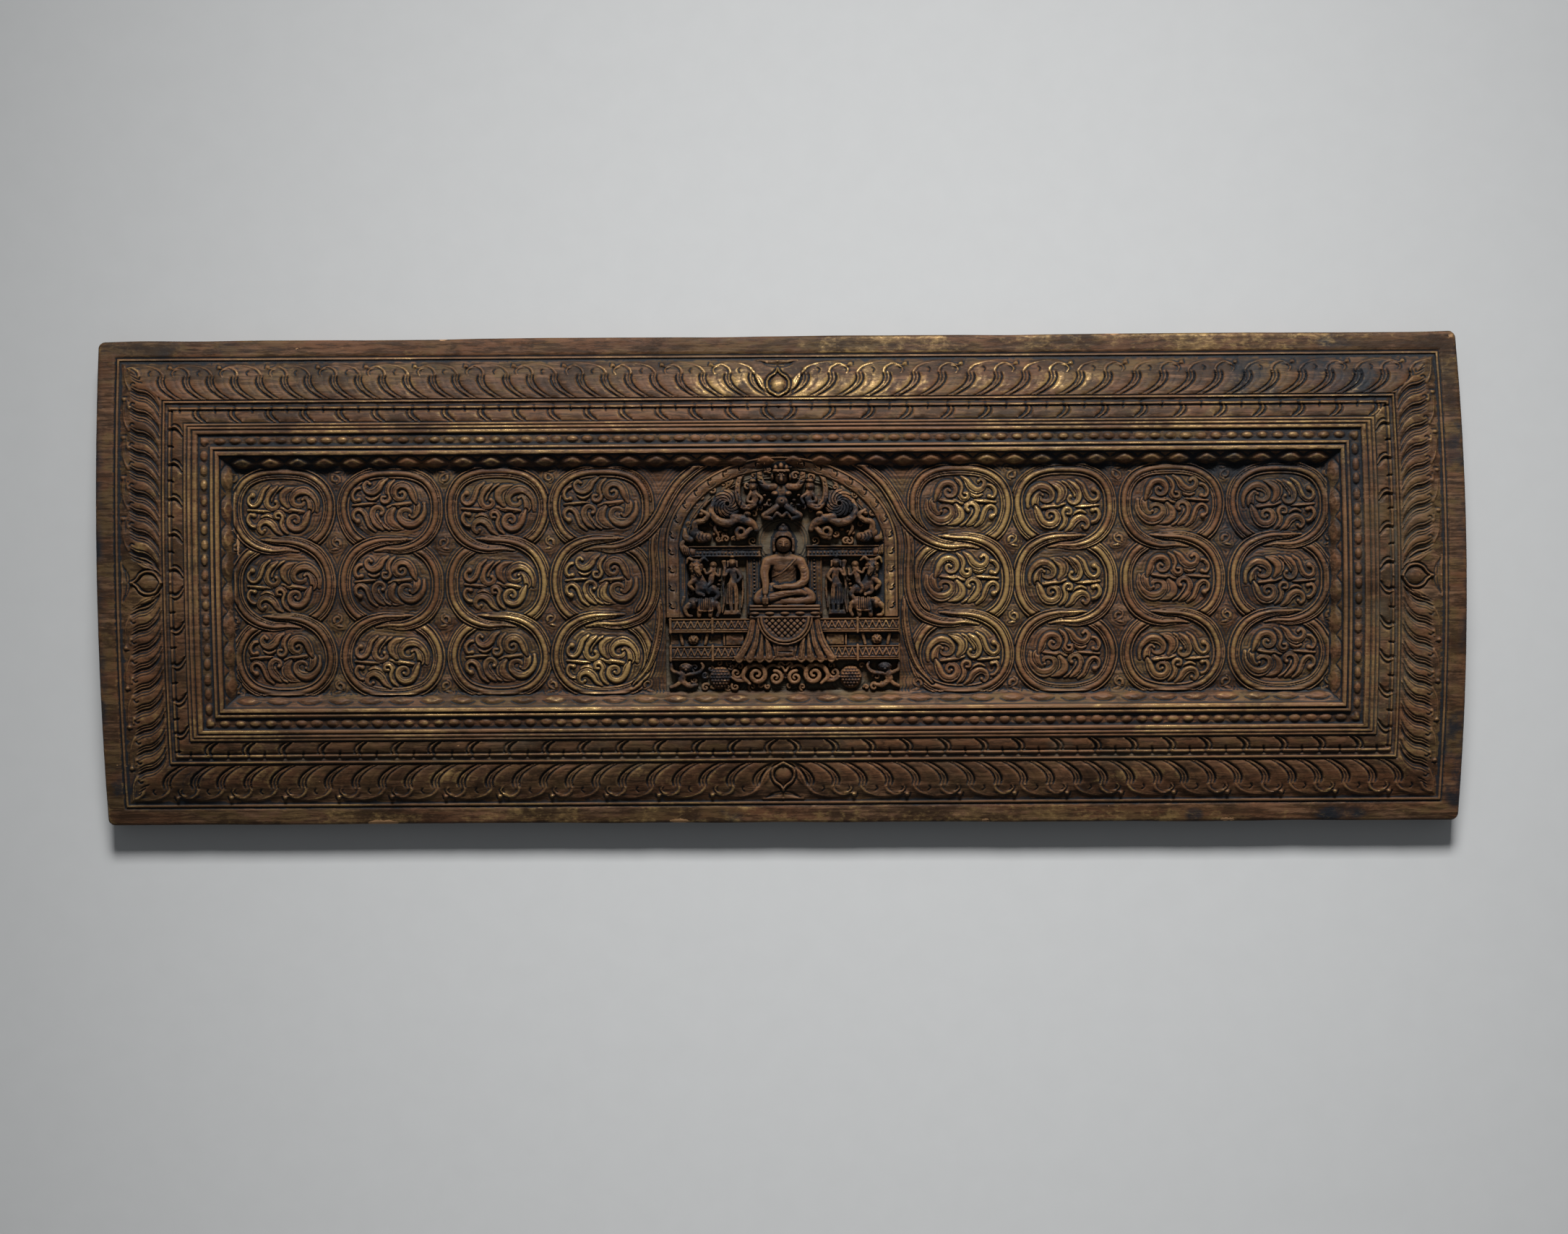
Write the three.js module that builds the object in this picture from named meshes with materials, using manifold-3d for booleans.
// Carved wooden manuscript cover: one thick board, flat behind and crowned in front, lying on its back.
// Millimetres. +X runs along the board, +Y to its top edge, +Z out of the carved face.

import * as THREE from 'three';
import { mergeVertices } from 'three/addons/utils/BufferGeometryUtils.js';
import Module from 'manifold-3d';

const wasm = await Module();
wasm.setup();

// Board
const boardLength = 730;
const boardWidth = 262;
const edgeThickness = 14;
const crownRise = 14;
const footInset = 4; // the left end leans in by this much at its foot
const endTaper = 3; // the right end is wider than the left one by this much
const leftEndBow = 0.5;
const rightEndBow = 2.4;
const crownFacets = 6; // across the board; the field has half as many

// Frame members, from the outer edge inwards, on the long sides and at the ends
const arrisWidth = 1.2;
const rimWidth = 9.3;
const lineWidth = 3.1;
const leafBandLong = 21;
const leafBandShort = 23.5;
const stepWidth = 2.2;
const smallLeafBandLong = 10.8;
const smallLeafBandShort = 10.2;
const outerRidgeLong = 6.2;
const outerRidgeShort = 8;
const beadChannelWidth = 5.9;
const innerRidgeWidth = 5.6;
const petalBandWidth = 7.7;

// Heights of the members above the crowned edge
const arrisDrop = 1;
const lineGrooveDepth = 0.9;
const lineRise = 0.2;
const leafBandFoot = -0.4;
const leafBandHead = 4.4;
const stepRise = 5.4;
const smallLeafFoot = 4.6;
const smallLeafHead = 6.9;
const outerRidgeRise = 8;
const beadChannelFloor = 6.9;
const innerRidgeRise = 9.2;
const petalHead = 8.5;
const fieldLevel = 0.5;

// Repeats along the frame
const topLeafPitch = 13.2;
const bottomLeafPitch = 14.4;
const endLeafPitch = 10.8;
const beadPitch = 8.1;
const petalPitchLong = 16.3;
const petalPitchShort = 15;
const budHalfWidth = 8.5;
const leafBody = 0.36; // half a leaf's width, as a share of its pitch
const leafHeight = 2.2;
const beadHeight = 1.9;
const petalHeight = 1.8;
const flatness = 0.001; // a point this near to a face counts as lying in it
const ornamentRoot = 0.5; // how deep each carved form runs on below the surface that carries it
const overlap = 1; // how far forms of the niche that meet run into each other

// Scrolling vine in the field
const medallionPitch = 56;
const medallionRowHeight = 40;
const ringGap = 6.6; // between neighbouring rings in a row
const vineRowGap = 0.8;
const vineHalfWidth = 2.5;
const ringCorners = 8;
const vineHeight = 2.2;
const leafScrollHeight = 2;

// Niche in the middle of the field
const nicheDepth = 4;
const archHalfWidth = 61.5;
const archBandWidth = 9.5;
const archRise = 48;
const archOverlap = 6; // how far the arch runs up over the petals
const archProud = 1.6;
const archSteps = 10;
const scrollBandHeight = 16.6;
const lowerTierHeight = 7.4;
const tierGapHeight = 7.2;
const upperTierHeight = 7.3;
const tierProud = 7.5;
const lowerTierProud = 6.4;
const tierGapProud = 3.6;
const clothTopWidth = 38;
const clothFootWidth = 56;
const clothProud = 9.2;
const clothFolds = 5;
const foldHeight = 1.4;
const clothHemDrop = 1.5;
const seatHeight = 6;
const seatWidth = 38;
const seatProud = 10.5;
const seatPetals = 5;
const seatPetalHeight = 1.2;
const figureHeight = 42.8;
const postOffset = 17.5; // from the middle of the niche to the uprights of the throne back
const postWidth = 5;
const postProud = 4.6;
const lintelHeight = 5.6;
const haloRadius = 13;
const haloProud = 2;
const haloCorners = 10;
const tailOffset = 30; // from the middle of the niche to the curled tails on the lintels
const tailRadius = 7.8;
const attendantHeight = 29;
const attendantOffset = 27.5;
const beastHeight = 31;
const beastOffset = 43.5;
const guardianHeight = 27;
const guardianClearance = 3;

const fieldHalfLength = boardLength / 2 - rimWidth - lineWidth - leafBandShort - stepWidth
  - smallLeafBandShort - outerRidgeShort - beadChannelWidth - innerRidgeWidth - petalBandWidth;
const fieldHalfWidth = boardWidth / 2 - rimWidth - lineWidth - leafBandLong - stepWidth
  - smallLeafBandLong - outerRidgeLong - beadChannelWidth - innerRidgeWidth - petalBandWidth;

// Lines of the frame's section: how far in each one lies, and its height
const section = [];

function addLine(name, long, short, height) {
  const last = section.at(-1) ?? { long: 0, short: 0 };
  section.push({ name, long: last.long + long, short: last.short + short, height });
}

addLine('edge', 0, 0, -arrisDrop);
addLine('rim', arrisWidth, arrisWidth, 0);
addLine('rim end', rimWidth - arrisWidth, rimWidth - arrisWidth, 0);
addLine('groove', lineWidth * 0.3, lineWidth * 0.3, -lineGrooveDepth);
addLine('line', lineWidth * 0.4, lineWidth * 0.4, lineRise);
addLine('leaf foot', lineWidth * 0.3, lineWidth * 0.3, leafBandFoot);
addLine('leaf head', leafBandLong, leafBandShort, leafBandHead);
addLine('step', stepWidth * 0.3, stepWidth * 0.3, stepRise);
addLine('small leaf foot', stepWidth * 0.7, stepWidth * 0.7, smallLeafFoot);
addLine('small leaf head', smallLeafBandLong, smallLeafBandShort, smallLeafHead);
addLine('outer ridge', outerRidgeLong * 0.5, outerRidgeShort * 0.5, outerRidgeRise);
addLine('bead edge', outerRidgeLong * 0.5, outerRidgeShort * 0.5, beadChannelFloor);
addLine('bead end', beadChannelWidth, beadChannelWidth, beadChannelFloor);
addLine('inner ridge', innerRidgeWidth * 0.4, innerRidgeWidth * 0.4, innerRidgeRise);
addLine('petal head', innerRidgeWidth * 0.6, innerRidgeWidth * 0.6, petalHead);
addLine('petal foot', petalBandWidth, petalBandWidth, fieldLevel);

const crown = (y) => crownRise * (1 - (2 * y / boardWidth) ** 2);

// The crown of a line of the section at one of the places where it bends. The field keeps every other bend.
function crownAtBend(lineIndex, bend) {
  const halfWidth = boardWidth / 2 - section[lineIndex].long;
  const at = (k) => crown((2 * k / crownFacets - 1) * halfWidth);
  const straight = lineIndex === section.length - 1 && bend % 2 === 1 && bend < crownFacets;
  return straight ? (at(bend - 1) + at(bend + 1)) / 2 : at(bend);
}

// The crown of a line of the section at a share of its half width, from -1 to 1
function crownAlong(lineIndex, share) {
  const place = THREE.MathUtils.clamp((share + 1) / 2, 0, 1) * crownFacets;
  const bend = Math.min(Math.floor(place), crownFacets - 1);
  return THREE.MathUtils.lerp(crownAtBend(lineIndex, bend), crownAtBend(lineIndex, bend + 1), place - bend);
}

// Where a distance in from the edge falls among the section's lines, as a line number with a fraction
function lineNumber(distance, side) {
  const last = section.length - 1;
  if (distance >= section[last][side]) {
    return last;
  }
  const next = section.findIndex((line) => line[side] > distance);
  const [from, to] = [section[next - 1][side], section[next][side]];
  return next - 1 + (distance - from) / (to - from);
}

function surfaceZ(x, y) {
  const place = Math.min(
    lineNumber(boardLength / 2 - Math.abs(x), 'short'),
    lineNumber(boardWidth / 2 - Math.abs(y), 'long'),
  );
  const line = Math.min(Math.floor(place), section.length - 2);
  const blend = (from, to) => THREE.MathUtils.lerp(from, to, place - line);
  const share = y / (boardWidth / 2 - blend(section[line].long, section[line + 1].long));
  const height = (index) => section[index].height + crownAlong(index, share);
  return edgeThickness + blend(height(line), height(line + 1));
}

// The board isn't quite square: its left foot is drawn in, its rim widens to the right and its ends bow
function drawn(x, y, z) {
  const left = 0.5 - x / boardLength;
  const foot = 0.5 - y / boardWidth;
  const bow = 1 - (2 * y / boardWidth) ** 2;
  const onRim = Math.max(0, 1 - (boardWidth / 2 - Math.abs(y)) / rimWidth);
  return [
    x + footInset * left * foot + (rightEndBow * (1 - left) - leftEndBow * left) * bow,
    y + Math.sign(y) * onRim * endTaper / 2 * x / boardLength,
    z,
  ];
}

function signedVolume(points, triangles) {
  const [a, b, c] = [new THREE.Vector3(), new THREE.Vector3(), new THREE.Vector3()];
  let total = 0;
  for (const corners of triangles) {
    a.fromArray(points[corners[0]]);
    b.fromArray(points[corners[1]]);
    c.fromArray(points[corners[2]]);
    total += a.dot(b.cross(c)) / 6;
  }
  return total;
}

// A closed solid from points and faces of three or four corners, with its points moved by place
function solid(points, faces, place = drawn) {
  const placed = points.map((point) => place(...point));
  const triangles = faces.flatMap(([a, b, c, d]) => {
    return d === undefined ? [[a, b, c]] : [[a, b, c], [a, c, d]];
  });
  const inverted = signedVolume(placed, triangles) < 0;
  const turned = inverted ? triangles.map(([a, b, c]) => [a, c, b]) : triangles;
  return new wasm.Manifold(new wasm.Mesh({
    numProp: 3,
    vertProperties: Float32Array.from(placed.flat()),
    triVerts: Uint32Array.from(turned.flat()),
  }));
}

// A small form moves as one with the board under its middle, so that its flat faces stay flat
function smallSolid(points, faces) {
  const middle = [0, 1].map((axis) => points.reduce((sum, point) => sum + point[axis], 0) / points.length);
  const [x, y] = drawn(...middle, 0);
  return solid(points, faces, (px, py, pz) => [px + x - middle[0], py + y - middle[1], pz]);
}

function solidFromGeometry(geometry, make = solid) {
  const bare = geometry.clone();
  bare.deleteAttribute('normal');
  bare.deleteAttribute('uv');
  const merged = mergeVertices(bare, flatness / 10);
  const position = merged.getAttribute('position');
  const points = [];
  for (let i = 0; i < position.count; i += 1) {
    points.push([position.getX(i), position.getY(i), position.getZ(i)]);
  }
  const faces = [];
  for (let i = 0; i < merged.index.count; i += 3) {
    faces.push([merged.index.getX(i), merged.index.getX(i + 1), merged.index.getX(i + 2)]);
  }
  return make(points, faces);
}

// Board

function buildBoard() {
  const columnCount = crownFacets + 1;
  const perLoop = 2 * columnCount;
  const points = [];
  // A loop runs up the right end and down the left one; the long sides are straight between them
  const addLoop = (halfLength, halfWidth, z) => {
    for (const end of [1, -1]) {
      for (let k = 0; k < columnCount; k += 1) {
        points.push([end * halfLength, end * (2 * k / crownFacets - 1) * halfWidth, z(k)]);
      }
    }
  };
  addLoop(boardLength / 2, boardWidth / 2, () => 0);
  section.forEach((line, index) => {
    addLoop(
      boardLength / 2 - line.short,
      boardWidth / 2 - line.long,
      (k) => edgeThickness + line.height + crownAtBend(index, k),
    );
  });
  const faces = [];
  for (let loop = 0; loop < section.length; loop += 1) {
    for (let k = 0; k < perLoop; k += 1) {
      const [low, high] = [loop * perLoop, (loop + 1) * perLoop];
      const next = (k + 1) % perLoop;
      faces.push([low + k, low + next, high + next, high + k]);
    }
  }
  // The field and the underside span from end to end in strips
  const top = section.length * perLoop;
  for (let k = 0; k < crownFacets; k += 1) {
    const across = perLoop - 1 - k;
    faces.push([top + k, top + k + 1, top + across - 1, top + across]);
    faces.push([across, across - 1, k + 1, k]);
  }
  return solid(points, faces);
}

// Carved forms that lie on the surface

// The step to one side of a path at a bend, mitred so that its edges stay parallel to the path
function sideStep(before, here, after, reach) {
  const [arriving, leaving] = [[before, here], [here, after]].map(([from, to]) => (
    Math.atan2(to[1] - from[1], to[0] - from[0])
  ));
  const turn = Math.atan2(Math.sin(leaving - arriving), Math.cos(leaving - arriving));
  const across = arriving + turn / 2 + Math.PI / 2;
  const mitred = reach / Math.cos(turn / 2);
  return [mitred * Math.cos(across), mitred * Math.sin(across)];
}

// A pointed leaf of triangular section. The path's first and last points are its tips; widths and
// heights belong to the points between them.
function leaf(path, halfWidths, heights, base = surfaceZ) {
  const points = [[...path[0], base(...path[0]) - ornamentRoot]];
  const faces = [];
  const count = path.length - 2;
  for (let i = 1; i <= count; i += 1) {
    const [x, y] = path[i];
    const reach = halfWidths[i - 1] * (1 + ornamentRoot / heights[i - 1]);
    const [dx, dy] = sideStep(path[i - 1], path[i], path[i + 1], reach);
    points.push([x + dx, y + dy, base(x + dx, y + dy) - ornamentRoot]);
    points.push([x - dx, y - dy, base(x - dx, y - dy) - ornamentRoot]);
    points.push([x, y, base(x, y) + heights[i - 1]]);
  }
  const end = points.length;
  points.push([...path.at(-1), base(...path.at(-1)) - ornamentRoot]);
  const sides = [[0, 2], [2, 1], [1, 0]];
  for (const [from, to] of sides) {
    faces.push([0, 1 + from, 1 + to]);
    faces.push([end, end - 3 + to, end - 3 + from]);
    for (let i = 0; i < count - 1; i += 1) {
      const [here, next] = [1 + 3 * i, 4 + 3 * i];
      faces.push([here + from, next + from, next + to, here + to]);
    }
  }
  return smallSolid(points, faces);
}

// A closed band of triangular section, such as a vine bent round into a ring
function ring(path, halfWidth, height) {
  const points = [];
  const faces = [];
  const count = path.length;
  const reach = halfWidth * (1 + ornamentRoot / height);
  path.forEach(([x, y], i) => {
    const [dx, dy] = sideStep(path.at(i - 1), path[i], path[(i + 1) % count], reach);
    points.push([x + dx, y + dy, surfaceZ(x + dx, y + dy) - ornamentRoot]);
    points.push([x - dx, y - dy, surfaceZ(x - dx, y - dy) - ornamentRoot]);
    points.push([x, y, surfaceZ(x, y) + height]);
    const [here, next] = [3 * i, 3 * ((i + 1) % count)];
    for (const [from, to] of [[0, 2], [2, 1], [1, 0]]) {
      faces.push([here + from, next + from, next + to, here + to]);
    }
  });
  return smallSolid(points, faces);
}

// A four-sided boss
function boss(corners, peak, height) {
  const points = corners.map(([x, y]) => [x, y, surfaceZ(x, y) - ornamentRoot]);
  points.push([...peak, surfaceZ(...peak) + height]);
  const faces = [[0, 1, 2, 3]];
  for (let k = 0; k < 4; k += 1) {
    faces.push([(k + 1) % 4, k, 4]);
  }
  return smallSolid(points, faces);
}

const lineNamed = (name) => section.find((line) => line.name === name);

// The four sides of the frame. A place on one is s, along it from its middle, and t, in from its edge.
const longSide = { across: 'long', along: 'short', half: boardLength / 2, petalPitch: petalPitchLong };
const shortSide = { across: 'short', along: 'long', half: boardWidth / 2, petalPitch: petalPitchShort };
const frameSides = [
  { ...longSide, leafPitch: topLeafPitch, at: (s, t) => [s, boardWidth / 2 - t] },
  { ...longSide, leafPitch: bottomLeafPitch, at: (s, t) => [s, t - boardWidth / 2] },
  { ...shortSide, leafPitch: endLeafPitch, at: (s, t) => [t - boardLength / 2, s] },
  { ...shortSide, leafPitch: endLeafPitch, at: (s, t) => [boardLength / 2 - t, s] },
];

// A band of the frame on one side: where it starts, how wide it is and half its length to the mitre
function bandOn(side, outerName, innerName) {
  const [outer, inner] = [lineNamed(outerName), lineNamed(innerName)];
  return {
    start: outer[side.across],
    depth: inner[side.across] - outer[side.across],
    half: side.half - (outer[side.along] + inner[side.along]) / 2,
  };
}

// Leaning leaves, which spring from the inner edge near the side's middle and tip outwards to its ends
function leafRow(side) {
  const band = bandOn(side, 'leaf foot', 'leaf head');
  const run = band.half - budHalfWidth;
  const count = Math.max(1, Math.round(run / side.leafPitch));
  const step = run / count;
  const bends = [[0.42, 0.06], [0.3, 0.42], [-0.6, 0.95]]; // shares of a step along, and of the band across
  const leaves = [];
  for (const hand of [-1, 1]) {
    for (let i = 0; i < count; i += 1) {
      const middle = budHalfWidth + step * (i + 0.5);
      const place = ([along, across]) => (
        side.at(hand * (middle + along * step), band.start + across * band.depth)
      );
      leaves.push(leaf(bends.map(place), [leafBody * step], [leafHeight]));
    }
  }
  return leaves;
}

// The lotus bud in the middle of each side, between two upright leaves
function budOn(side) {
  const band = bandOn(side, 'leaf foot', 'leaf head');
  const place = (share, depth) => side.at(share * budHalfWidth, band.start + depth * band.depth);
  const forms = [leaf(
    [place(0, 0.24), place(0, 0.5), place(0, 0.74), place(0, 0.99)],
    [budHalfWidth * 0.68, budHalfWidth * 0.5],
    [leafHeight, leafHeight],
  )];
  for (const hand of [-1, 1]) {
    forms.push(leaf(
      [place(hand * 1.05, 0.32), place(hand * 0.86, 0.66), place(hand * 0.3, 0.97)],
      [budHalfWidth * 0.2],
      [leafHeight * 0.8],
    ));
  }
  return forms;
}

function beadRow(side) {
  const band = bandOn(side, 'bead edge', 'bead end');
  const count = Math.round(2 * band.half / beadPitch);
  const step = 2 * band.half / count;
  const [middle, reach] = [band.start + band.depth / 2, band.depth * 0.47];
  const beads = [];
  for (let i = 0; i < count; i += 1) {
    const s = -band.half + step * (i + 0.5);
    const corners = [[-0.46 * step, 0], [0, reach], [0.46 * step, 0], [0, -reach]];
    const placed = corners.map(([ds, dt]) => side.at(s + ds, middle + dt));
    beads.push(boss(placed, side.at(s, middle), beadHeight));
  }
  return beads;
}

function petalRow(side) {
  const band = bandOn(side, 'petal head', 'petal foot');
  const count = Math.round(2 * band.half / side.petalPitch);
  const step = 2 * band.half / count;
  const petals = [];
  for (let i = 0; i < count; i += 1) {
    const s = -band.half + step * (i + 0.5);
    const place = (share) => side.at(s, band.start + share * band.depth);
    petals.push(leaf([place(0.08), place(0.42), place(1.02)], [step * 0.36], [petalHeight]));
  }
  return petals;
}

function buildFrameCarving() {
  return frameSides.flatMap((side) => {
    return [
      ...leafRow(side),
      ...budOn(side),
      ...beadRow(side),
      ...petalRow(side),
    ];
  });
}

// Scrolling vine

// Points on a spiral about a centre. Angles are in quarter turns from +X, and turn may be negative.
function spiral(centre, start, turn, outer, inner, count) {
  const points = [];
  for (let i = 0; i < count; i += 1) {
    const share = i / (count - 1);
    const angle = (start + turn * share) * Math.PI / 2;
    const radius = THREE.MathUtils.lerp(outer, inner, share);
    points.push([centre[0] + radius * Math.cos(angle), centre[1] + radius * Math.sin(angle)]);
  }
  return points;
}

// One ring of the vine with the half palmette that curls inside it, its tips to the board's end
function medallion(centre, hand, halfLength, halfHeight, swapped) {
  const at = (x, y) => [centre[0] + hand * x * halfLength, centre[1] + y * halfHeight];
  const [rx, ry] = [halfLength - vineHalfWidth, halfHeight - vineHalfWidth];
  const loop = [];
  for (let k = 0; k < ringCorners; k += 1) {
    const angle = 2 * Math.PI * k / ringCorners;
    loop.push([centre[0] + rx * Math.cos(angle), centre[1] + ry * Math.sin(angle)]);
  }
  const forms = [ring(loop, vineHalfWidth, vineHeight)];
  const stem = halfHeight * 0.13; // half the width of a scroll inside the ring
  // A scroll on the inner side, and two leaves that point to the board's end
  const scroll = (x, y, start, turn, radius, bends) => {
    const points = spiral([0, 0], start, turn, radius, radius * 0.4, bends + 2);
    const placed = points.map(([px, py]) => at(x + px * halfHeight / halfLength, y + py));
    const inside = placed.slice(2);
    forms.push(leaf(placed, inside.map(() => stem), inside.map(() => leafScrollHeight)));
  };
  const [upper, lower] = swapped ? [-1, 1] : [1, -1];
  scroll(0.34, upper * 0.36, 0, upper * 3.4, 0.38, 3);
  const tips = [
    [[-0.04, 0.6 * upper], [-0.44, 0.46 * upper], [-0.74, 0.06 * upper]],
    [[0.6, 0.3 * lower], [0.06, 0.5 * lower], [-0.72, 0.2 * lower]],
  ];
  for (const tip of tips) {
    forms.push(leaf(tip.map((point) => at(...point)), [stem * 1.3], [leafScrollHeight]));
  }
  return forms;
}

// The stem that crosses from a ring to the one below it
function vineLink(centre, hand, halfLength, rowHeight) {
  const at = (x, y) => [centre[0] + hand * x * halfLength, centre[1] + y * rowHeight];
  return leaf([at(-0.75, 0.72), at(0.1, 0.5), at(0.8, 0.3)], [vineHalfWidth], [vineHeight * 1.2]);
}

function buildVine() {
  const zoneStart = archHalfWidth + ringGap / 2;
  const zone = fieldHalfLength - zoneStart;
  const columns = Math.max(1, Math.round(zone / medallionPitch));
  const pitch = zone / columns;
  const rows = Math.max(1, Math.round(2 * fieldHalfWidth / medallionRowHeight));
  const rowHeight = 2 * fieldHalfWidth / rows;
  const [halfLength, halfHeight] = [(pitch - ringGap) / 2, rowHeight / 2 - vineRowGap];
  const forms = [];
  for (const hand of [-1, 1]) {
    for (let column = 0; column < columns; column += 1) {
      const turned = column % 2 === 0 ? hand : -hand;
      for (let row = 0; row < rows; row += 1) {
        const x = hand * (zoneStart + pitch * (column + 0.5));
        const y = fieldHalfWidth - rowHeight * (row + 0.5);
        forms.push(...medallion([x, y], -hand, halfLength, halfHeight, (column + row) % 2 === 1));
        if (row > 0) {
          forms.push(vineLink([x, y], -turned, halfLength, rowHeight));
        }
      }
    }
  }
  return forms;
}

// Niche

const nicheFloor = edgeThickness + crownRise + fieldLevel - nicheDepth;
const fieldFoot = -fieldHalfWidth;
const lowerTierFoot = fieldFoot + scrollBandHeight;
const tierGapFoot = lowerTierFoot + lowerTierHeight;
const upperTierFoot = tierGapFoot + tierGapHeight;
const platformTop = upperTierFoot + upperTierHeight;
const archTop = fieldHalfWidth + archOverlap;
const archSpring = Math.max(platformTop + overlap, archTop - archRise);
const headShare = 0.79; // how far up the seated figure the middle of its head is

// Points round an arch of the given half width, from its left foot over the top to its right foot
function archPath(halfWidth, top, foot, steps) {
  const points = [[-halfWidth, foot]];
  for (let k = 0; k <= steps; k += 1) {
    const angle = Math.PI * (1 - k / steps);
    points.push([halfWidth * Math.cos(angle), archSpring + (top - archSpring) * Math.sin(angle)]);
  }
  points.push([halfWidth, foot]);
  return points;
}

function plate(outline, low, high) {
  const shape = new THREE.Shape(outline.map(([x, y]) => new THREE.Vector2(x, y)));
  const geometry = new THREE.ExtrudeGeometry(shape, { depth: high - low, bevelEnabled: false });
  geometry.translate(0, 0, low);
  return solidFromGeometry(geometry);
}

// A plate whose front is smaller than its back all round, as a carved block is
function draftedPlate(outline, high, draft) {
  const middle = [0, 1].map((axis) => {
    const values = outline.map((point) => point[axis]);
    return (Math.min(...values) + Math.max(...values)) / 2;
  });
  const count = outline.length;
  const points = outline.map(([x, y]) => [x, y, nicheFloor - ornamentRoot]);
  for (const [x, y] of outline) {
    const [dx, dy] = [Math.sign(x - middle[0]) * draft, Math.sign(y - middle[1]) * draft];
    points.push([x - dx, y - dy, nicheFloor + high]);
  }
  const faces = [];
  for (let k = 0; k < count; k += 1) {
    const next = (k + 1) % count;
    faces.push([k, next, count + next, count + k]);
  }
  const shape = outline.map(([x, y]) => new THREE.Vector2(x, y));
  for (const [a, b, c] of THREE.ShapeUtils.triangulateShape(shape, [])) {
    faces.push([c, b, a], [count + a, count + b, count + c]);
  }
  return solid(points, faces);
}

function block(left, right, foot, head, high, draft = 0.8) {
  return draftedPlate([[left, foot], [right, foot], [right, head], [left, head]], high, draft);
}

// A six-sided dome on the niche floor
function dome(x, y, radii) {
  const sides = 6;
  const points = [[x, y, nicheFloor + radii[2]]];
  for (const [share, z] of [[0.7, radii[2] * 0.75], [1, -ornamentRoot]]) {
    for (let k = 0; k < sides; k += 1) {
      const angle = 2 * Math.PI * k / sides;
      const [dx, dy] = [radii[0] * share * Math.cos(angle), radii[1] * share * Math.sin(angle)];
      points.push([x + dx, y + dy, nicheFloor + z]);
    }
  }
  const faces = [];
  for (let k = 0; k < sides; k += 1) {
    const [here, next] = [1 + k, 1 + (k + 1) % sides];
    faces.push([0, here, next], [here, here + sides, next + sides, next]);
  }
  for (let k = 1; k < sides - 1; k += 1) {
    faces.push([1 + sides, 2 + sides + k, 1 + sides + k]);
  }
  return smallSolid(points, faces);
}

function ball(x, y, z, radii, around = 6, down = 4) {
  const geometry = new THREE.SphereGeometry(1, around, down);
  geometry.scale(...radii);
  geometry.translate(x, y, z);
  return solidFromGeometry(geometry, smallSolid);
}

function limb(from, to, fromRadius, toRadius) {
  const [start, end] = [new THREE.Vector3(...from), new THREE.Vector3(...to)];
  const length = start.distanceTo(end);
  const geometry = new THREE.CylinderGeometry(toRadius, fromRadius, length, 5, 1);
  const up = new THREE.Vector3(0, 1, 0);
  const heading = end.clone().sub(start).normalize();
  geometry.applyQuaternion(new THREE.Quaternion().setFromUnitVectors(up, heading));
  const middle = start.add(end).multiplyScalar(0.5);
  geometry.translate(middle.x, middle.y, middle.z);
  return solidFromGeometry(geometry, smallSolid);
}

// The arch band stands a little proud of the field all the way round
function buildArch() {
  const foot = platformTop - upperTierHeight / 2;
  const outer = archPath(archHalfWidth, archTop, foot, archSteps);
  const inner = archPath(archHalfWidth - archBandWidth, archTop - archBandWidth, foot, archSteps);
  const count = outer.length;
  const share = 0.1; // of the band's width, taken by the slope of each edge
  const points = [];
  outer.forEach(([x, y], k) => {
    const [dx, dy] = [inner[k][0] - x, inner[k][1] - y];
    const at = (blend) => [x + blend * dx, y + blend * dy];
    const height = Math.max(surfaceZ(...at(share)), surfaceZ(...at(1 - share))) + archProud;
    points.push([x, y, nicheFloor - ornamentRoot], [...at(share), height]);
    points.push([...at(1 - share), height], [...inner[k], nicheFloor - ornamentRoot]);
  });
  const faces = [[0, 1, 2, 3], [3, 2, 1, 0].map((k) => k + 4 * (count - 1))];
  for (let k = 0; k < count - 1; k += 1) {
    for (let edge = 0; edge < 4; edge += 1) {
      const [here, next] = [4 * k + edge, 4 * k + (edge + 1) % 4];
      faces.push([here, here + 4, next + 4, next]);
    }
  }
  return solid(points, faces);
}

// The niche is cut a little inside the arch band's outer edge, so that the band covers the cut's edge
function nicheCut() {
  const outline = archPath(archHalfWidth - overlap, archTop - overlap, fieldFoot - overlap, archSteps);
  return plate(outline, nicheFloor, nicheFloor + crownRise + edgeThickness);
}

// A carved form on the niche floor that runs along a path
function onFloor(path, halfWidths, heights, under = 0) {
  return leaf(path, halfWidths, heights, () => nicheFloor + under);
}

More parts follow.
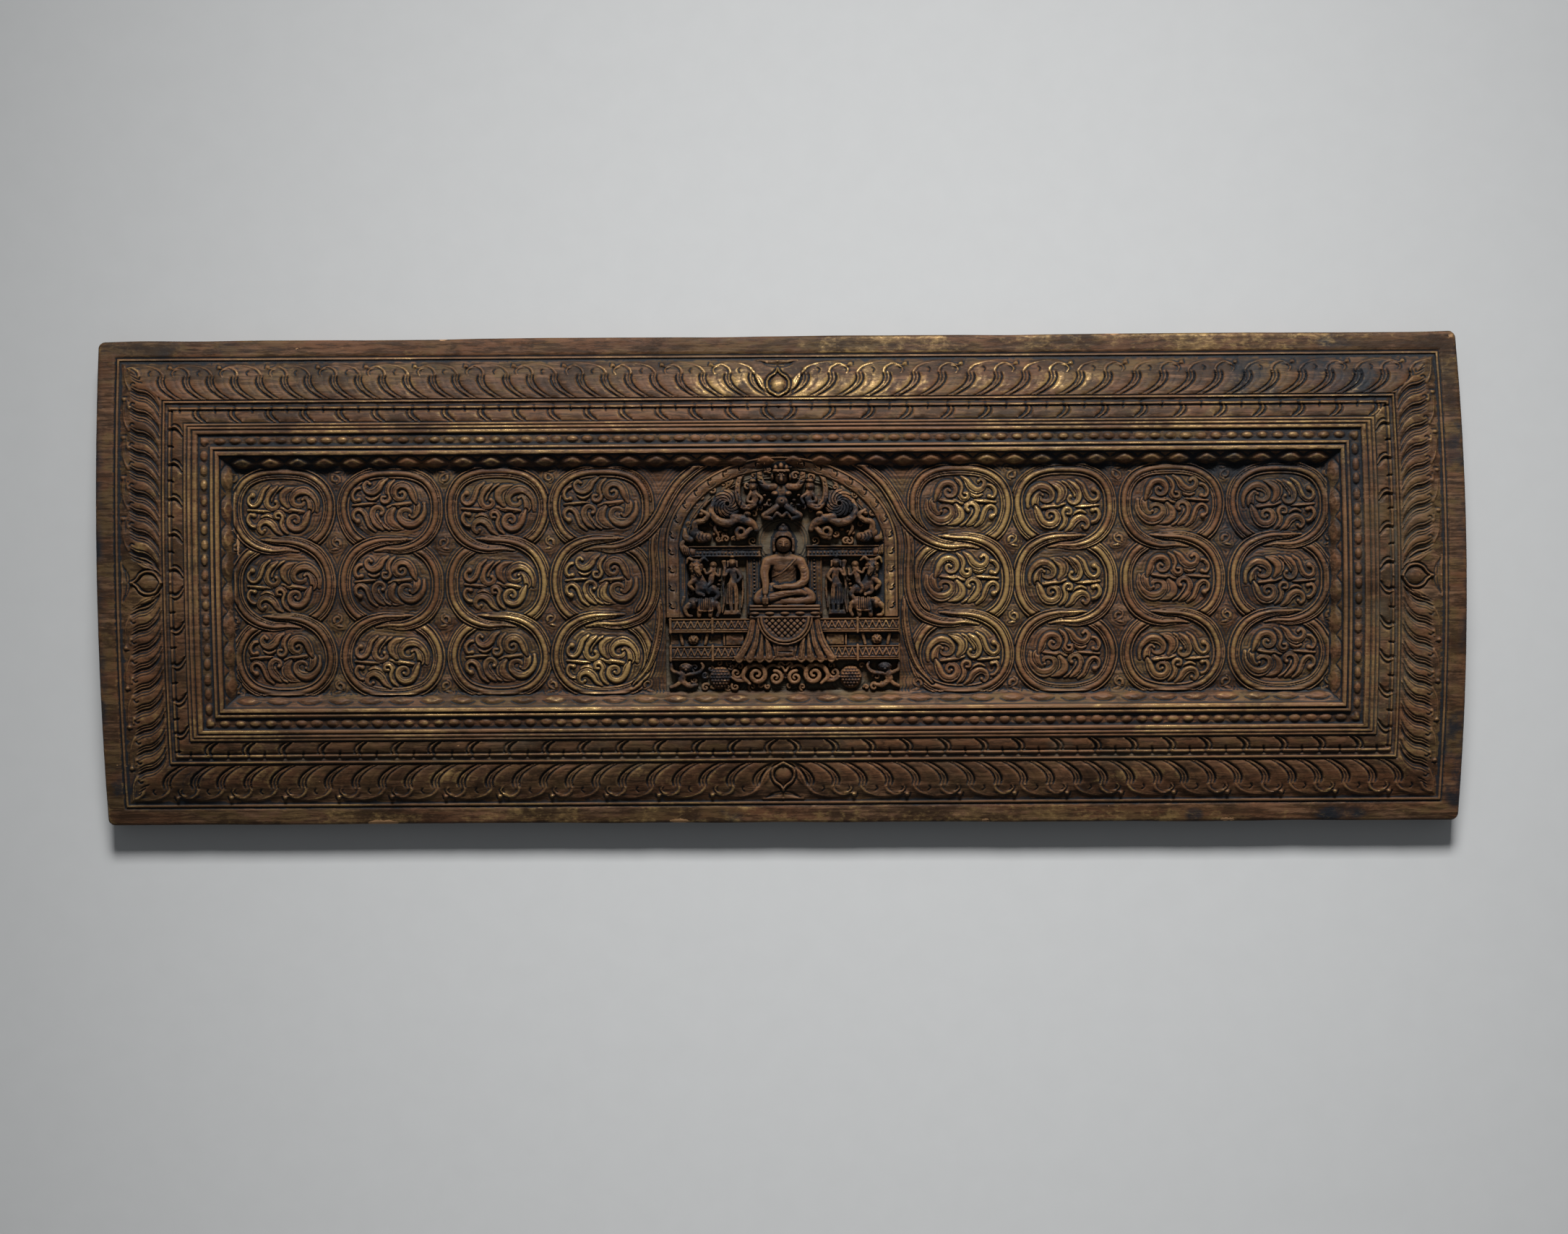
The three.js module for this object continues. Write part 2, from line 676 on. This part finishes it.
// Two stepped tiers with a cloth hanging before them
function buildThroneBase() {
  const reach = archHalfWidth;
  const [top, foot] = [clothTopWidth / 2, clothFootWidth / 2];
  const clothMiddle = (platformTop + lowerTierFoot) / 2;
  const hem = lowerTierFoot - clothHemDrop;
  const cloth = [
    [-foot, hem], [foot, hem], [top, clothMiddle],
    [top, platformTop], [-top, platformTop], [-top, clothMiddle],
  ];
  const forms = [
    block(-reach, reach, upperTierFoot, platformTop, tierProud),
    block(-reach, reach, tierGapFoot - overlap, upperTierFoot + overlap, tierGapProud, 0),
    block(-reach, reach, lowerTierFoot, tierGapFoot, lowerTierProud),
    draftedPlate(cloth, clothProud, 0.6),
  ];
  const foldMiddle = THREE.MathUtils.lerp(platformTop, hem, 0.63);
  for (let k = 0; k < clothFolds; k += 1) {
    const share = (k + 0.5) / clothFolds * 2 - 1;
    const path = [
      [share * top, platformTop - overlap],
      [share * (top + foot) / 2, foldMiddle],
      [share * foot, hem],
    ];
    forms.push(onFloor(path, [foot / clothFolds * 0.55], [foldHeight], clothProud));
  }
  return forms;
}

// Two scrolls, a rosette and a crouching bearer under each half of the throne base, as shares of the
// band's height, at shares of the arch's half width. A beast's face looks out between the tiers.
function buildScrollBand() {
  const forms = [];
  const h = scrollBandHeight;
  const y = fieldFoot + h * 0.46;
  const radius = h * 0.32;
  const [gapMiddle, gap] = [tierGapFoot + tierGapHeight / 2, tierGapHeight];
  for (const hand of [-1, 1]) {
    const at = (share) => hand * share * archHalfWidth;
    for (const share of [0.1, 0.33]) {
      const path = spiral([at(share), y], 1, -hand * 3, radius, radius * 0.3, 5);
      forms.push(onFloor(path, [0.09 * h, 0.1 * h, 0.09 * h], [0.19 * h, 0.2 * h, 0.18 * h]));
    }
    forms.push(
      dome(at(0.6), y, [radius * 1.1, radius * 1.1, 0.22 * h]),
      dome(at(0.86), y - 0.06 * h, [0.25 * h, 0.3 * h, 0.3 * h]),
      dome(at(0.86), y + 0.28 * h, [0.17 * h, 0.17 * h, 0.36 * h]),
      dome(at(0.78), gapMiddle, [gap * 0.7, gap * 0.54, gap * 0.94]),
    );
  }
  return forms;
}

// Uprights and lintels behind the seat, with a curled tail and a bird on each lintel, and the halo
function buildThroneBack() {
  const forms = [];
  const postTop = platformTop + seatHeight + figureHeight * 0.7;
  const [near, far] = [postOffset - postWidth / 2, postOffset + postWidth / 2];
  const lintelEnd = archHalfWidth - archBandWidth + overlap;
  const r = tailRadius;
  for (const hand of [-1, 1]) {
    const outline = [
      [near, platformTop - overlap], [far, platformTop - overlap], [far, postTop - lintelHeight],
      [lintelEnd, postTop - lintelHeight], [lintelEnd, postTop], [near, postTop],
    ];
    const placed = outline.map(([x, y]) => [hand * x, y]);
    const tail = spiral([hand * tailOffset, postTop + r], 3, hand * 3.6, r, 0.26 * r, 6);
    const [halfWidths, heights] = [[0.22, 0.23, 0.23, 0.2], [0.46, 0.48, 0.46, 0.38]];
    forms.push(
      plate(hand > 0 ? placed : placed.reverse(), nicheFloor - ornamentRoot, nicheFloor + postProud),
      onFloor(tail, halfWidths.map((share) => share * r), heights.map((share) => share * r)),
      dome(hand * beastOffset, postTop + 0.64 * r, [0.54 * r, 0.7 * r, 0.56 * r]),
    );
  }
  const halo = [];
  const headY = platformTop + seatHeight + figureHeight * headShare;
  for (let k = 0; k < haloCorners; k += 1) {
    const angle = 2 * Math.PI * k / haloCorners;
    halo.push([haloRadius * Math.cos(angle), headY + haloRadius * Math.sin(angle)]);
  }
  forms.push(plate(halo, nicheFloor - ornamentRoot, nicheFloor + haloProud));
  return forms;
}

// The seat: a low lotus with a row of petals on its front
function buildSeat() {
  const half = seatWidth / 2;
  const [foot, head] = [platformTop - overlap, platformTop + seatHeight];
  const forms = [block(-half, half, foot, head, seatProud)];
  for (let k = 0; k < seatPetals; k += 1) {
    const x = (k + 0.5 - seatPetals / 2) * 2 * half * 0.9 / seatPetals;
    const path = [0.14, 0.5, 0.86].map((share) => [x, THREE.MathUtils.lerp(foot, head, share)]);
    forms.push(onFloor(path, [half / seatPetals * 0.7], [seatPetalHeight], seatProud));
  }
  return forms;
}

// The seated figure, as shares of its height: legs crossed, the right hand down over the knee and the
// left one in the lap
function buildFigure() {
  const h = figureHeight;
  const at = (x, y, z) => [x * h, platformTop + seatHeight + y * h, nicheFloor + z * h];
  const part = (x, y, z, radii, around = 6) => {
    return ball(...at(x, y, z), radii.map((radius) => radius * h), around);
  };
  const link = (from, to, start, end) => limb(at(...from), at(...to), start * h, end * h);
  return [
    part(0, 0.1, 0.08, [0.41, 0.125, 0.21], 8),
    part(0, 0.38, 0.07, [0.2, 0.32, 0.15]),
    link([0, 0.6, 0.08], [0, 0.72, 0.1], 0.08, 0.06),
    part(0, headShare, 0.12, [0.11, 0.13, 0.12], 8),
    part(0, 0.94, 0.1, [0.06, 0.06, 0.06]),
    link([-0.2, 0.62, 0.08], [-0.28, 0.34, 0.13], 0.09, 0.06),
    link([-0.28, 0.36, 0.12], [-0.25, 0.08, 0.3], 0.058, 0.035),
    link([0.2, 0.62, 0.08], [0.29, 0.34, 0.12], 0.09, 0.06),
    link([0.29, 0.36, 0.12], [0.02, 0.24, 0.24], 0.06, 0.04),
  ];
}

// A standing attendant on each side of the throne, the hips swayed outwards
function buildAttendants() {
  const forms = [];
  const h = attendantHeight;
  for (const hand of [-1, 1]) {
    const at = (x, y) => [hand * (attendantOffset + x * h), platformTop + y * h];
    const body = [at(0, -0.06), at(0.02, 0.12), at(0.06, 0.5), at(0, 0.86)];
    forms.push(
      onFloor(body, [0.17 * h, 0.13 * h], [0.2 * h, 0.2 * h]),
      onFloor([at(0.02, 0.8), at(0.15, 0.6), at(0.17, 0.3)], [0.05 * h], [0.16 * h]),
      dome(...at(-0.02, 0.87), [0.1 * h, 0.13 * h, 0.24 * h]),
    );
  }
  return forms;
}

// A rearing beast above a crouching elephant, at each end of the throne back
function buildBeasts() {
  const forms = [];
  const h = beastHeight;
  for (const hand of [-1, 1]) {
    const at = (x, y) => [hand * (beastOffset + x * h), platformTop + y * h];
    const body = [at(0.14, 0.18), at(0.08, 0.4), at(-0.02, 0.66), at(0.06, 0.88)];
    forms.push(
      dome(...at(0, 0.15), [0.22 * h, 0.16 * h, 0.2 * h]),
      onFloor([at(-0.08, 0.32), at(-0.2, 0.18), at(-0.24, -0.04)], [0.06 * h], [0.18 * h]),
      onFloor(body, [0.12 * h, 0.1 * h], [0.2 * h, 0.2 * h]),
      onFloor([at(0, 0.7), at(-0.12, 0.74), at(-0.24, 0.66)], [0.04 * h], [0.16 * h]),
      onFloor([at(0.04, 0.44), at(-0.1, 0.44), at(-0.2, 0.34)], [0.05 * h], [0.16 * h]),
      dome(...at(0.07, 0.87), [0.13 * h, 0.12 * h, 0.24 * h]),
    );
  }
  return forms;
}

// The winged guardian at the head of the arch, holding a serpent on each side
function buildGuardian() {
  const h = guardianHeight;
  const foot = archTop - archBandWidth - guardianClearance - h;
  const at = (x, y) => [x * h, foot + y * h];
  const forms = [
    dome(...at(0, 0.32), [0.24 * h, 0.28 * h, 0.26 * h]),
    dome(...at(0, 0.82), [0.2 * h, 0.21 * h, 0.3 * h]),
  ];
  for (const hand of [-1, 1]) {
    forms.push(
      onFloor([at(hand * 0.08, 0.5), at(hand * 0.36, 0.66), at(hand * 0.6, 0.86)], [0.1 * h], [0.2 * h]),
      onFloor(
        [at(hand * 0.56, 0.84), at(hand * 0.78, 0.5), at(hand * 1.14, 0.34), at(hand * 1.36, 0.02)],
        [0.08 * h, 0.06 * h], [0.15 * h, 0.13 * h],
      ),
      onFloor([at(hand * 0.1, 0.2), at(hand * 0.24, 0.1), at(hand * 0.26, -0.08)], [0.08 * h], [0.18 * h]),
    );
  }
  return forms;
}

function buildNiche() {
  return [
    buildArch(),
    ...buildThroneBase(),
    ...buildScrollBand(),
    ...buildThroneBack(),
    ...buildSeat(),
    ...buildFigure(),
    ...buildAttendants(),
    ...buildBeasts(),
    ...buildGuardian(),
  ];
}

const join = (whole, piece) => whole.add(piece);

function buildCover() {
  const carvedField = [...buildFrameCarving(), ...buildVine()].reduce(join, buildBoard());
  return buildNiche().reduce(join, carvedField.subtract(nicheCut()));
}

// Joining leaves points along straight edges and inside flat faces. Each one is merged into a neighbour
// that lies in every face round it, so the shape stays as it is.
function withoutSparePoints(positions, indices) {
  const point = (index) => new THREE.Vector3().fromArray(positions, 3 * index);
  const triangles = [];
  const fans = new Map();
  for (let i = 0; i < indices.length; i += 3) {
    const corners = Array.from(indices.slice(i, i + 3));
    const index = triangles.push(corners) - 1;
    corners.forEach((corner) => fans.set(corner, (fans.get(corner) ?? new Set()).add(index)));
  }
  const around = (index) => {
    const corners = [...fans.get(index)].flatMap((t) => triangles[t]);
    return new Set(corners.filter((corner) => corner !== index));
  };
  const square = (corners) => {
    const [a, b, c] = corners.map(point);
    return b.sub(a).cross(c.sub(a));
  };
  // A face may be stretched to the new corner if it stays in its plane, faces the same way and isn't
  // a sliver
  const stretches = (corners, from, to) => {
    const before = square(corners);
    const after = square(corners.map((corner) => (corner === from ? to : corner)));
    const height = before.clone().normalize().dot(point(to).sub(point(from)));
    return Math.abs(height) < flatness && after.dot(before) > 0 && after.length() > flatness;
  };
  const canMerge = (from, to) => {
    const shared = [...around(from)].filter((corner) => around(to).has(corner));
    const others = [...fans.get(from)].filter((t) => !triangles[t].includes(to));
    return shared.length === 2 && others.every((t) => stretches(triangles[t], from, to));
  };
  const merge = (from, to) => {
    for (const t of fans.get(from)) {
      if (triangles[t].includes(to)) {
        triangles[t].forEach((corner) => corner !== from && fans.get(corner).delete(t));
        triangles[t] = [];
      } else {
        triangles[t] = triangles[t].map((corner) => (corner === from ? to : corner));
        fans.get(to).add(t);
      }
    }
    fans.delete(from);
  };
  for (let merged = true; merged;) {
    merged = false;
    for (const from of [...fans.keys()]) {
      const to = [...around(from)].find((corner) => canMerge(from, corner));
      if (to !== undefined) {
        merge(from, to);
        merged = true;
      }
    }
  }
  return triangles.flat();
}

// The mesh of a solid, with its outline centred on the origin
function toGeometry(body) {
  const mesh = body.getMesh();
  const geometry = new THREE.BufferGeometry();
  geometry.setAttribute('position', new THREE.BufferAttribute(Float32Array.from(mesh.vertProperties), 3));
  geometry.setIndex(withoutSparePoints(mesh.vertProperties, mesh.triVerts));
  geometry.computeBoundingBox();
  const middle = geometry.boundingBox.getCenter(new THREE.Vector3());
  geometry.translate(-middle.x, -middle.y, 0);
  geometry.computeVertexNormals();
  return geometry;
}

const wood = new THREE.MeshStandardMaterial({ color: 0x5c4230, roughness: 0.55, metalness: 0 });
const cover = new THREE.Mesh(toGeometry(buildCover()), wood);
cover.name = 'carved_cover';

const manuscriptCover = new THREE.Group();
manuscriptCover.add(cover);

export default manuscriptCover;
